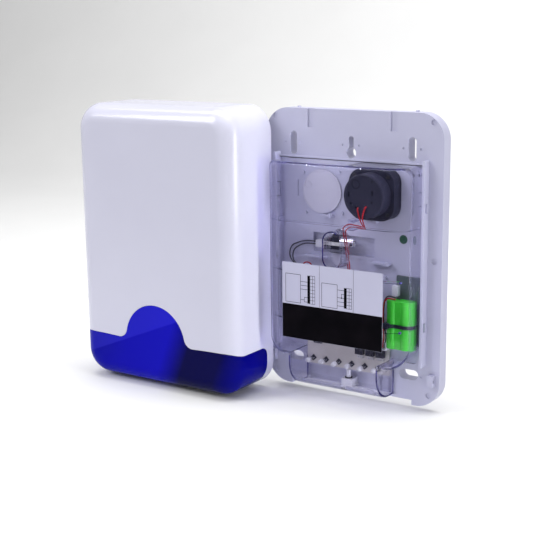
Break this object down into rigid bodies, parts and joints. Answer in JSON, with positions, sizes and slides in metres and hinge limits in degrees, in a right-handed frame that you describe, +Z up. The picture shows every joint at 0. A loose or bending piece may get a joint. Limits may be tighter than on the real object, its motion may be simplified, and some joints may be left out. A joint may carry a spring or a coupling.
{
  "type": "alarm siren",
  "caption": "Outdoor alarm siren: wall base with siren driver, board and battery under a clear cover, and a deep front cover with a strobe lens.",
  "frame": {"origin": "middle of the base plate's back plane, on the wall", "axes": "+X right and +Z up seen from the front, +Y into the wall"},
  "size_m": [0.3951, 0.094, 0.2982],
  "materials": {
    "white_shell": "glossy white",
    "blue_lens": "glossy translucent deep blue",
    "seal_rubber": "matte",
    "clear_plastic": "clear moulded plastic",
    "label_film": "satin printed film",
    "pale_plastic": "satin pale grey",
    "disc_plastic": "satin off-white",
    "black_plastic": "satin black",
    "white_plastic": "satin white",
    "steel": "plain",
    "dark_steel": "black oxide",
    "bright_metal": "polished",
    "brass": "plain",
    "board_cream": "solder-mask cream",
    "board_green": "solder-mask green",
    "sleeve_green": "shrink sleeve",
    "cell_metal": "plain",
    "wire_red": "insulation",
    "wire_black": "insulation",
    "dot_green": "paper sticker",
    "led_clear": "clear epoxy"
  },
  "bodies": {
    "base": {"base_plate": "pale_plastic", "battery_board": "board_green", "battery_cells": "cell_metal", "battery_end_tab": "white_plastic", "battery_lead_black": "wire_black", "battery_lead_red": "wire_red", "battery_plug": "white_plastic", "battery_tie": "black_plastic", "battery_wrap": "sleeve_green", "blanking_disc": "disc_plastic", "board_loop_lead": "wire_red", "board_screws": "steel", "capacitors": "black_plastic", "control_board": "board_cream", "control_chip": "black_plastic", "driver_lead_left": "wire_red", "driver_lead_right": "wire_red", "driver_screws": "dark_steel", "inspection_dot": "dot_green", "lead_clip": "clear_plastic", "led_legs": "steel", "led_spacers": "black_plastic", "lock_block": "white_plastic", "lock_post": "white_plastic", "lock_ring": "seal_rubber", "siren_driver_cap": "black_plastic", "siren_driver_housing": "black_plastic", "siren_membrane": "brass", "strobe_leds": "led_clear", "tamper_barrel": "bright_metal", "tamper_lead_left": "wire_black", "tamper_lead_right": "wire_black", "tamper_plug": "white_plastic", "tamper_switch_body": "black_plastic", "tamper_switch_pin": "steel", "terminal_block": "board_green", "terminal_screws": "steel", "transistor_bodies": "black_plastic", "transistor_legs": "steel"},
    "lock_screw": {"cover_lock_screw": "steel"},
    "front_cover": {"front_cover": "white_shell", "strobe_lens": "blue_lens", "lens_seal": "seal_rubber"},
    "inner_cover": {"clear_inner_cover": "clear_plastic", "post_sleeve": "clear_plastic", "wiring_label": "label_film"},
    "tamper_lever": {"tamper_lever": "steel"}
  },
  "joints": [
    {"name": "cover_carry", "type": "hinge", "parent": "base", "child": "lock_screw", "pos_m": [-0.09621, -0.0135, -0.148], "axis": [0, 0, 1], "range_deg": [0, 174.28]},
    {"name": "cover_turn", "type": "hinge", "parent": "lock_screw", "child": "front_cover", "pos_m": [-0.1913, -0.02955, -0.148], "axis": [0, 0, 1], "range_deg": [-174.28, 0]},
    {"name": "inner_cover_lift", "type": "slide", "parent": "base", "child": "inner_cover", "axis": [0, -1, 0], "range_m": [0, 0.015]},
    {"name": "tamper_press", "type": "hinge", "parent": "base", "child": "tamper_lever", "pos_m": [-0.0225, -0.0244, 0.0124], "axis": [0, 0, 1], "range_deg": [0, 2], "stiffness_Nm_per_rad": 0.02}
  ],
  "couplings": [
    {"joint": "cover_turn", "follows": "cover_carry", "ratio": -1}
  ]
}
